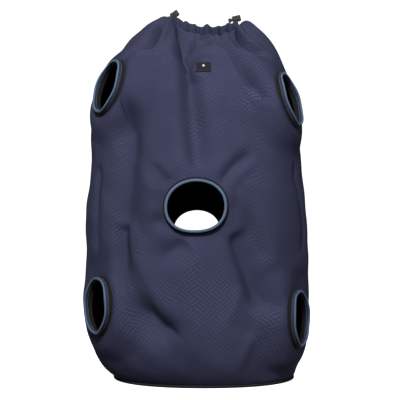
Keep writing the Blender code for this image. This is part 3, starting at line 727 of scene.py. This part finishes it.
def thicken(obj, thickness, offset=-1, dark_backed=False):
    """The modifier that makes a surface solid, with the second material inside if it is dark backed: a near black
    backing that is partly the cloth's coated back and partly painted shade inside the bag.
    """
    shell = obj.modifiers.new("thickness", "SOLIDIFY")
    shell.thickness = thickness
    shell.offset = offset
    shell.material_offset = int(dark_backed)
    return shell


def face_outward(mesh, weld=True):
    """Joins edges that meet, and turns every face outward."""
    shape = bmesh.new()
    shape.from_mesh(mesh)
    if weld:
        bmesh.ops.remove_doubles(shape, verts=shape.verts, dist=WELD)
    bmesh.ops.recalc_face_normals(shape, faces=shape.faces)
    shape.to_mesh(mesh)
    shape.free()


def finish(obj, body, slot, stuffs, *nodes):
    """Shades, paints and hangs a piece on its body, in place of these CAD nodes."""
    for stuff in stuffs:
        obj.data.materials.append(stuff)
    obj.data.polygons.foreach_set("use_smooth", [True] * len(obj.data.polygons))
    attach(obj, body)
    if nodes:
        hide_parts(*nodes)
    return obj


# The cloth panels


def open_holes(obj, holes):
    """Takes the cloth out of each hole and draws the cut edge onto the collar."""
    shape = bmesh.new()
    shape.from_mesh(obj.data)
    for hole in holes:
        inside = []
        for vertex in shape.verts:
            offset, x, y = hole.offsets(vertex.co)
            if abs(offset @ hole.out) > 0.03 or offset @ offset > 0.0064:
                continue
            if math.hypot(x, y) < COLLAR_RADIUS * hole.outline_at(math.atan2(y, x)):
                inside.append(vertex)
        rim = {other for vertex in inside for face in vertex.link_faces for other in face.verts} - set(inside)
        bmesh.ops.delete(shape, geom=inside, context="VERTS")
        for vertex in rim:
            offset, x, y = hole.offsets(vertex.co)
            angle = np.array(math.atan2(y, x))
            flat = hole.place(COLLAR_RADIUS * np.cos(angle), COLLAR_RADIUS * np.sin(angle), np.array(0.0))
            vertex.co = flat + hole.out * (offset @ hole.out) * 0.3
    shape.to_mesh(obj.data)
    shape.free()


def cloth_panel(name, first_turn, last_turn, columns, rows, holes, nodes):
    """A panel between two turns, with its holes, and the flat width and length of its cloth."""
    obj, across, up = grid_piece(name, columns, rows)
    side = 2 * across - 1
    span = last_turn - first_turn
    turn = (first_turn + last_turn) / 2 + span / 2 * (0.8 * side + 0.2 * side**3)
    rise = up * (1.14 - 0.14 * up)
    places = cloth_surface(turn, rise)
    move_corners(obj, places)
    order = np.lexsort((across, np.round(up * rows)))
    table = places[order].reshape(rows + 1, columns + 1, 3)
    steps = np.linalg.norm(np.diff(table, axis=0), axis=2)
    height = np.concatenate([np.zeros((1, columns + 1)), np.cumsum(steps, axis=0)])
    width = 0.5 * span * (BAG_HALF_WIDTH + BAG_HALF_DEPTH)
    sideways = np.broadcast_to(width * (turn[order][: columns + 1] - first_turn) / span, height.shape)
    pairs = np.empty((len(places), 2))
    pairs[order] = np.stack([sideways, height], axis=-1).reshape(-1, 2)
    write_uv(obj, "cloth", pairs)
    open_holes(obj, holes)
    # The inner faces take the near black backing, which also paints the shade inside the bag.
    shell = thicken(obj, CLOTH, dark_backed=True)
    finish(obj, "bag", "navy_cloth", [NAVY, BACKING_AND_SHADE], *nodes)
    apply(obj, shell)
    return obj, width, float(height.max())


side_holes = [HOLES[n] for n in ("upper_left", "upper_right", "lower_left", "lower_right")]
front_cloth, front_width, front_length = cloth_panel(
    "front_cloth", -SEAM_TURN, SEAM_TURN, 236, 200, [HOLES["front"], *side_holes], ["front_panel"]
)
back_cloth, back_width, back_length = cloth_panel(
    "back_cloth", SEAM_TURN, 2 * math.pi - SEAM_TURN, 190, 170, [HOLES["back"]], ["back_panel"]
)


# The hem


def hem_piece(name, middle_turn, node_name):
    """Half of the hem: a soft tube of gathered cloth round the drawcord."""
    columns, sides = 150, 20
    obj, along, around = grid_piece(name, columns, sides)
    turn = middle_turn + HEM_END_TURN * (2 * along - 1)
    angle = 2 * math.pi * around
    pucker = np.sin(46 * turn + 1.5 * np.sin(4 * turn))
    frill = 0.5 + 0.5 * np.sin(17 * turn + 1.4 * np.sin(2 * turn + 1.0))
    ends = smooth_step((1 - np.abs(2 * along - 1)) / 0.06)
    high = np.clip(np.sin(angle), 0, 1)
    outward = HEM_HALF_THICKNESS * signed_power(np.cos(angle), 0.8)
    outward += (0.0034 * pleats(turn) + 0.0011 * pucker) * ends
    upward = HEM_HALF_HEIGHT * signed_power(np.sin(angle), 0.75)
    upward += (0.0040 * frill**2 + 0.0016 * np.sin(11 * turn + 0.7)) * ends * high
    move_corners(obj, hem_point(turn, outward, upward))
    write_uv(obj, "cloth", np.stack([turn * 0.2, around * 0.05], axis=-1))
    face_outward(obj.data)
    shell = thicken(obj, HEM_CLOTH, dark_backed=True)
    finish(obj, "bag", "navy_cloth", [NAVY_HEM, BACKING_AND_SHADE], node_name)
    apply(obj, shell)
    return obj


hem_front = hem_piece("hem_front", 0.0, "hem_channel_front")
hem_back = hem_piece("hem_back", math.pi, "hem_channel_back")


# Collars, bindings and their stitches


def spun_ring(name, section, steps):
    """A section of (radius, height) corners, drawn and spun round the Z axis."""
    mesh = bpy.data.meshes.new(name)
    count = len(section)
    mesh.from_pydata([(r, 0, h) for r, h in section], [(i, (i + 1) % count) for i in range(count)], [])
    obj = bpy.data.objects.new(name, mesh)
    bpy.context.scene.collection.objects.link(obj)
    bpy.context.view_layer.objects.active = obj
    obj.select_set(True)
    bpy.ops.object.mode_set(mode="EDIT")
    bpy.ops.mesh.select_all(action="SELECT")
    bpy.ops.mesh.spin(steps=steps, angle=2 * math.pi, center=(0, 0, 0), axis=(0, 0, 1))
    bpy.ops.mesh.select_all(action="SELECT")
    bpy.ops.mesh.remove_doubles(threshold=WELD)
    bpy.ops.mesh.normals_make_consistent(inside=False)
    bpy.ops.object.mode_set(mode="OBJECT")
    obj.select_set(False)
    return obj


def rounded(corner_list, steps):
    """The closed outline through these corners, with each side's middle kept and each corner rounded."""
    count = len(corner_list)
    out = []
    for i in range(count):
        before, here, after = (np.array(corner_list[(i + k) % count]) for k in (-1, 0, 1))
        start, stop = (before + here) / 2, (here + after) / 2
        for k in range(steps):
            t = k / steps
            out.append(tuple((1 - t) ** 2 * start + 2 * t * (1 - t) * here + t * t * stop))
    return out


def set_on_hole(obj, hole):
    x, y, z = corners(obj).T
    move_corners(obj, hole.place(x, y, z))


def along_path(places, run, values):
    return np.stack([np.interp(places, run, values[:, i]) for i in range(3)], axis=-1)


def stitch_row(name, path, outs, size, stuff, slot):
    """A row of separate stitches along a path, each a small rounded thread half sunk in the cloth."""
    length, pitch, thickness = size
    steps = np.linalg.norm(np.diff(path, axis=0), axis=1)
    run = np.concatenate([[0], np.cumsum(steps)])
    count = max(int(run[-1] / pitch), 1)
    places = (np.arange(count) + 0.5) * run[-1] / count
    middle, out = along_path(places, run, path), along_path(places, run, outs)
    ahead = along_path(np.minimum(places + length / 2, run[-1]), run, path)
    behind = along_path(np.maximum(places - length / 2, 0), run, path)
    way = ahead - behind
    way /= np.linalg.norm(way, axis=1)[:, None]
    out -= way * (out * way).sum(1)[:, None]
    out /= np.linalg.norm(out, axis=1)[:, None]
    side = np.cross(way, out)
    bpy.ops.mesh.primitive_uv_sphere_add(segments=6, ring_count=5, radius=1)
    obj = named(name)
    x, y, z = corners(obj).T
    one = np.stack([signed_power(z, 0.7) * length / 2, x * thickness, y * thickness * 0.8], axis=-1)
    faces = [tuple(face.vertices) for face in obj.data.polygons]
    spots = (
        middle[:, None]
        + one[None, :, :1] * way[:, None]
        + one[None, :, 1:2] * side[:, None]
        + one[None, :, 2:3] * out[:, None]
        + out[:, None] * thickness * 0.25
    )
    mesh = bpy.data.meshes.new(name)
    every = [tuple(k * len(one) + v for v in face) for k in range(count) for face in faces]
    mesh.from_pydata(spots.reshape(-1, 3).tolist(), [], every)
    old = obj.data
    obj.data = mesh
    bpy.data.meshes.remove(old)
    face_outward(mesh, weld=False)
    return finish(obj, "bag", slot, [stuff])


def collar_and_binding(hole):
    outer, inner = COLLAR_RADIUS, COLLAR_RADIUS - COLLAR_WALL
    foot, top = -COLLAR_INSET, COLLAR_PROUD
    flare = [(outer + 0.0052, -0.0006), (outer + 0.0056, 0.0008)]
    flare += [(outer + 0.0030, 0.0016), (outer + 0.0026, 0.0030)]
    ribs = [(outer + 0.0016, 0.0036), (outer + 0.0020, 0.0050), (outer + 0.0008, 0.0060), (outer, top - 0.002)]
    section = rounded([(inner, foot), (outer, foot), *flare, *ribs, (outer, top), (inner, top)], 3)
    collar = spun_ring(f"webbing_collar_{hole.name}", section, RIM_STEPS)
    set_on_hole(collar, hole)
    finish(collar, "bag", "black_webbing", [WEBBING], f"collar_{hole.name}")

    wide, narrow = outer + 0.0014, inner - 0.0014
    low, high = top - 0.0062, top + 0.0006
    fold = [(outer + 0.0002, low), (wide, low), (wide, high), (narrow, high), (narrow, low), (inner - 0.0002, low)]
    fold += [(inner - 0.0002, top - 0.0008), (outer + 0.0002, top - 0.0008)]
    # The tape's faces take the darker copy of its blue as painted shade; the rounded nose below keeps the tape's own
    # blue.
    tape = spun_ring(f"navy_tape_{hole.name}", rounded(fold, 2), RIM_STEPS)
    set_on_hole(tape, hole)
    finish(tape, "bag", "blue_binding", [TAPE_SHADED_COPY])

    middle, half = (wide + narrow) / 2, (wide - narrow) / 2 + 0.0003
    bead = [
        (middle + half * math.cos(a), top + 0.0004 + (0.0021 if math.sin(a) > 0 else 0.0016) * math.sin(a))
        for a in np.linspace(0, 2 * math.pi, 16, endpoint=False)
    ]
    piping = spun_ring(f"blue_rim_{hole.name}", bead, RIM_STEPS)
    set_on_hole(piping, hole)
    finish(piping, "bag", "blue_binding", [TAPE_BLUE], f"rim_binding_{hole.name}")

    angle = np.linspace(0, 2 * math.pi, 241)
    for label, radius, way in (("outer", wide, 1), ("inner", narrow, -1)):
        if (label, hole.name) == ("inner", "back"):
            continue
        ring_x, ring_y = radius * np.cos(angle), radius * np.sin(angle)
        level = np.full_like(angle, low + 0.0012)
        path = hole.place(ring_x, ring_y, level)
        outs = (hole.place(ring_x * 1.05, ring_y * 1.05, level) - path) * way
        stitch_row(f"{label}_rim_stitches_{hole.name}", path, outs, RIM_STITCH, THREAD, "blue_binding")


for each_hole in HOLES.values():
    collar_and_binding(each_hole)


# The base and its bound seam


def base_outline(turn, inward):
    share, inset = body_share(WALL_BOTTOM), BASE_TUCK + inward
    half_width, half_depth = BAG_HALF_WIDTH * share - inset, BAG_HALF_DEPTH * share - inset
    return seen_from_above(turn, half_width, half_depth, body_shift(WALL_BOTTOM))


def base_pieces():
    bpy.ops.mesh.primitive_circle_add(vertices=96, radius=1, fill_type="TRIFAN")
    obj = bpy.context.object
    obj.name = obj.data.name = "base_cloth"
    bpy.ops.object.mode_set(mode="EDIT")
    bpy.ops.mesh.select_all(action="SELECT")
    bpy.ops.mesh.subdivide(number_cuts=6)
    bpy.ops.object.mode_set(mode="OBJECT")
    obj.select_set(False)
    flat = corners(obj)
    reach = np.minimum(np.hypot(flat[:, 0], flat[:, 1]), 1)
    turn = np.arctan2(flat[:, 0], -flat[:, 1])
    x, y = base_outline(turn, BASE_SEAM_RADIUS + 0.0004)
    middle = float(body_shift(WALL_BOTTOM))
    x, y = middle + (x - middle) * reach, y * reach
    lift = 0.0008 * (1 + np.sin(29 * x + 1) * np.sin(33 * y)) * (1 - reach**4)
    move_corners(obj, stacked(x, y, BASE_CLOTH + lift))
    write_uv(obj, "cloth", np.stack([x, y], axis=-1))
    shell = thicken(obj, BASE_CLOTH, offset=-1 if obj.data.polygons[0].normal.z > 0 else 1)
    finish(obj, "bag", "base_cloth", [NAVY_HEM], "base_panel")
    apply(obj, shell)

    seam, along, around = grid_piece("base_seam_tape", 240, 14)
    turn, angle = 2 * math.pi * along, 2 * math.pi * around
    radius = BASE_SEAM_RADIUS * (1 + 0.06 * np.sin(90 * turn))
    x, y = base_outline(turn, radius * np.cos(angle))
    move_corners(seam, stacked(x, y, BASE_SEAM_RADIUS + GAP + BASE_SEAM_RADIUS * np.sin(angle)))
    face_outward(seam.data)
    finish(seam, "bag", "black_webbing", [WEBBING], "base_seam_binding")
    turn = np.linspace(0, 2 * math.pi, 721)
    x, y = base_outline(turn, -0.0024)
    level = 0.0046
    path = stacked(x, y, level)
    outs = stacked(*base_outline(turn, -0.01), level) - path
    stitch_row("base_seam_stitches", path, outs, BASE_STITCH, THREAD_NAVY, "black_webbing")
    return obj


base_cloth = base_pieces()


# Topstitching beside the side seams


def topstitch(name, turn_offset, side):
    rise = np.linspace(0.02, 0.985, 400)
    turn = np.full_like(rise, side * (SEAM_TURN + turn_offset))
    path = cloth_surface(turn, rise)
    beside = cloth_surface(turn + 0.01, rise)
    outs = np.cross(beside - path, np.gradient(path, axis=0))
    stitch_row(name, path, outs, SEAM_STITCH, THREAD_NAVY, "navy_cloth")


for side_name, side_sign in (("left", -1), ("right", 1)):
    topstitch(f"seam_stitches_front_{side_name}", -0.028, side_sign)
    topstitch(f"seam_stitches_back_{side_name}", 0.028, side_sign)


# The label


def label_frame():
    """The label's middle on the cloth, and its directions across, up and out."""
    turns = LABEL_TURN + np.array([0, 0.05, -0.05, 0, 0])
    points = cloth_surface(turns, LABEL_RISE + np.array([0, 0, 0, 0.010, -0.010]))
    across = points[1] - points[2]
    across /= np.linalg.norm(across)
    up = points[3] - points[4]
    up -= across * (up @ across)
    up /= np.linalg.norm(up)
    return points[0], across, up, np.cross(across, up)


def label_pieces():
    middle, across, up, out = label_frame()

    def place(obj, lift):
        x, y, z = corners(obj).T
        base = middle + np.outer(x, across) + np.outer(y, up)
        move_corners(obj, base + np.outer(z + lift, out))

    obj, u, v = grid_piece("woven_label", 24, 22)
    x, y = (u - 0.5) * LABEL_WIDTH, (v - 0.5) * LABEL_HEIGHT
    edge = np.minimum(np.minimum(u, 1 - u) * LABEL_WIDTH, np.minimum(v, 1 - v) * LABEL_HEIGHT)
    crown = 0.0004 * smooth_step(edge / 0.002) - 0.0004 * bump(edge - 0.0026, 0.0007)
    move_corners(obj, stacked(x, y, crown + 0.0006))
    apply(obj, thicken(obj, LABEL_CLOTH_THICKNESS))
    place(obj, 0.0004)
    finish(obj, "bag", "label_cloth", [LABEL_CLOTH], "label_patch")

    bpy.ops.mesh.primitive_cylinder_add(vertices=4, radius=0.0046, depth=0.0005)
    mark = bpy.context.object
    mark.name = mark.data.name = "label_lozenge_thread"
    bpy.ops.object.mode_set(mode="EDIT")
    bpy.ops.mesh.select_mode(type="FACE")
    bpy.ops.mesh.select_all(action="DESELECT")
    shape = bmesh.from_edit_mesh(mark.data)
    for face in shape.faces:
        face.select_set(face.normal.z > 0.9)
    bmesh.update_edit_mesh(mark.data)
    bpy.ops.mesh.inset(thickness=0.0013, depth=-0.0003)
    bpy.ops.object.mode_set(mode="OBJECT")
    mark.select_set(False)
    flat = corners(mark)
    move_corners(mark, stacked(flat[:, 0] * 0.72, flat[:, 1] + 0.0032, flat[:, 2] + 0.00025))
    place(mark, 0.0016)
    finish(mark, "bag", "label_thread", [LABEL_SILVER], "label_lozenge")

    half_x, half_y = 0.0132, 0.0122
    ring = [(-half_x, -half_y), (half_x, -half_y), (half_x, half_y), (-half_x, half_y), (-half_x, -half_y)]
    path = np.array([middle + across * a + up * b + out * 0.0013 for a, b in ring])
    stitch_row("label_stitches", path, np.tile(out, (5, 1)), LABEL_STITCH, THREAD_NAVY, "label_cloth")


label_pieces()


# The cord and its locks


def lock_place(side):
    turn = math.radians(90 if side == "right" else -90)
    middle = Vector(hem_point(turn)) + Vector((0, LOCK_BACK, LOCK_LIFT))
    tilt = LOCK_TILT[side]
    knob_way, over = (-math.cos(tilt), 0, -math.sin(tilt)), (-math.sin(tilt), 0, math.cos(tilt))
    return Matrix.Translation(middle) @ Matrix((knob_way, (0, 1, 0), over)).transposed().to_4x4()


def block(name, low, high, soft=0.0, segments=3):
    """A box between two corners with softened edges."""
    size = [b - a for a, b in zip(low, high)]
    middle = [(a + b) / 2 for a, b in zip(low, high)]
    bpy.ops.mesh.primitive_cube_add(size=1, location=middle, scale=size)
    obj = bpy.context.object
    bpy.ops.object.transform_apply(location=True, rotation=True, scale=True)
    obj.name = obj.data.name = name
    if soft:
        edge = obj.modifiers.new("soft_edges", "BEVEL")
        edge.width = soft
        edge.segments = segments
        apply(obj, edge)
    obj.select_set(False)
    return obj


def combine(obj, other, operation):
    change = obj.modifiers.new(operation, "BOOLEAN")
    change.operation = operation
    change.solver = "EXACT"
    change.object = other
    apply(obj, change)
    bpy.data.objects.remove(other, do_unlink=True)


def settle(obj, matrix):
    obj.data.transform(matrix)
    obj.matrix_world = Matrix.Identity(4)
    return obj


# Corners of the locks' blocks, from the barrel's middle: towards the knob, along the cord and over it
BARREL = (-0.0098, -0.0049, -0.0065), (0.0090, 0.0049, 0.0065)
POCKET = (-0.0084, -0.00355, -0.00515), (0.02, 0.00355, 0.00515)
BORE = (-0.0020, -0.01, -0.00375), (0.0020, 0.01, 0.00375)
PLUNGER = (-0.0031, -0.00325, -0.00485), (0.0084, 0.00325, 0.00485)
NECK = (0.0074, -0.0024, -0.0031), (0.0136, 0.0024, 0.0031)
KNOB = (0.0126, -0.0038, -0.0046), (0.0181, 0.0038, 0.0046)
SLOT = (-0.0019, -0.01, -0.00365), (0.0049, 0.01, 0.00365)
RIB_STARTS, RIB_WIDTH = (-0.0062, 0.0028, 0.0052, 0.0076), 0.0012
GRIP_STARTS, GRIP_WIDTH = (-0.0024, -0.0004, 0.0016), 0.0008


def lock_pieces(side):
    place = lock_place(side)
    housing = block(f"lock_barrel_{side}", *BARREL, 0.0016, 4)
    for start in RIB_STARTS:
        rib = block("rib", (start, -0.0053, -0.0069), (start + RIB_WIDTH, 0.0053, 0.0069), 0.0004, 2)
        combine(housing, rib, "UNION")
    combine(housing, block("pocket", *POCKET, 0.0003, 2), "DIFFERENCE")
    combine(housing, block("bore", *BORE, 0.0012, 3), "DIFFERENCE")
    finish(settle(housing, place), f"lock_{side}", "black_plastic", [PLASTIC], f"lock_housing_{side}")

    plunger = block(f"lock_button_{side}", *PLUNGER, 0.0004, 2)
    combine(plunger, block("neck", *NECK, 0.0006, 2), "UNION")
    combine(plunger, block("knob", *KNOB, 0.0014, 4), "UNION")
    for start in GRIP_STARTS:
        grip = block("grip", (0.0176, -0.0030, start), (0.0186, 0.0030, start + GRIP_WIDTH), 0.0003, 2)
        combine(plunger, grip, "UNION")
    combine(plunger, block("slot", *SLOT), "DIFFERENCE")
    finish(settle(plunger, place), f"plunger_{side}", "black_plastic", [PLASTIC], f"lock_plunger_{side}")
    for obj in (housing, plunger):
        obj.select_set(True)
        bpy.context.view_layer.objects.active = obj
        bpy.ops.object.shade_smooth_by_angle(angle=math.radians(35))
        obj.select_set(False)


for lock_side in ("left", "right"):
    lock_pieces(lock_side)


def tube_piece(name, points, radius, sides):
    """A round tube along these points, as a curve made into a mesh."""
    curve = bpy.data.curves.new(name, "CURVE")
    curve.dimensions = "3D"
    curve.bevel_depth = radius
    curve.bevel_resolution = sides // 4
    curve.use_fill_caps = True
    line = curve.splines.new("POLY")
    line.points.add(len(points) - 1)
    for spot, point in zip(line.points, points):
        spot.co = (*point, 1)
    guide = bpy.data.objects.new(name, curve)
    bpy.context.scene.collection.objects.link(guide)
    mesh = bpy.data.meshes.new_from_object(guide)
    bpy.data.objects.remove(guide, do_unlink=True)
    obj = bpy.data.objects.new(name, mesh)
    bpy.context.scene.collection.objects.link(obj)
    face_outward(mesh)
    return obj


KNOT_SIZE, KNOT_STRAND = 0.00118, 0.00175


def knot_piece(side):
    """The tied end of the cord: an overhand knot in two strands."""
    low, high = (np.array(c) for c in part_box(f"cord_knot_{side}"))
    middle = (low + high) / 2
    angle = np.linspace(0, 2 * math.pi, 73)
    x = np.sin(angle) + 2 * np.sin(2 * angle)
    z = np.cos(angle) - 2 * np.cos(2 * angle)
    y = -np.sin(3 * angle)
    points = middle + KNOT_SIZE * np.stack([x, y * 1.25, z], axis=-1)
    obj = tube_piece(f"tied_knot_{side}", points, KNOT_STRAND, 12)
    finish(obj, "bag", "black_cord", [BRAID], f"cord_knot_{side}")


for lock_side in ("left", "right"):
    knot_piece(lock_side)

for cad_name, stuff in (
    ("drawcord_front", BRAID),
    ("drawcord_back", BRAID),
    ("lock_spring_left", STEEL),
    ("lock_spring_right", STEEL),
):
    for material_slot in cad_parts[cad_name].material_slots:
        material_slot.material = stuff
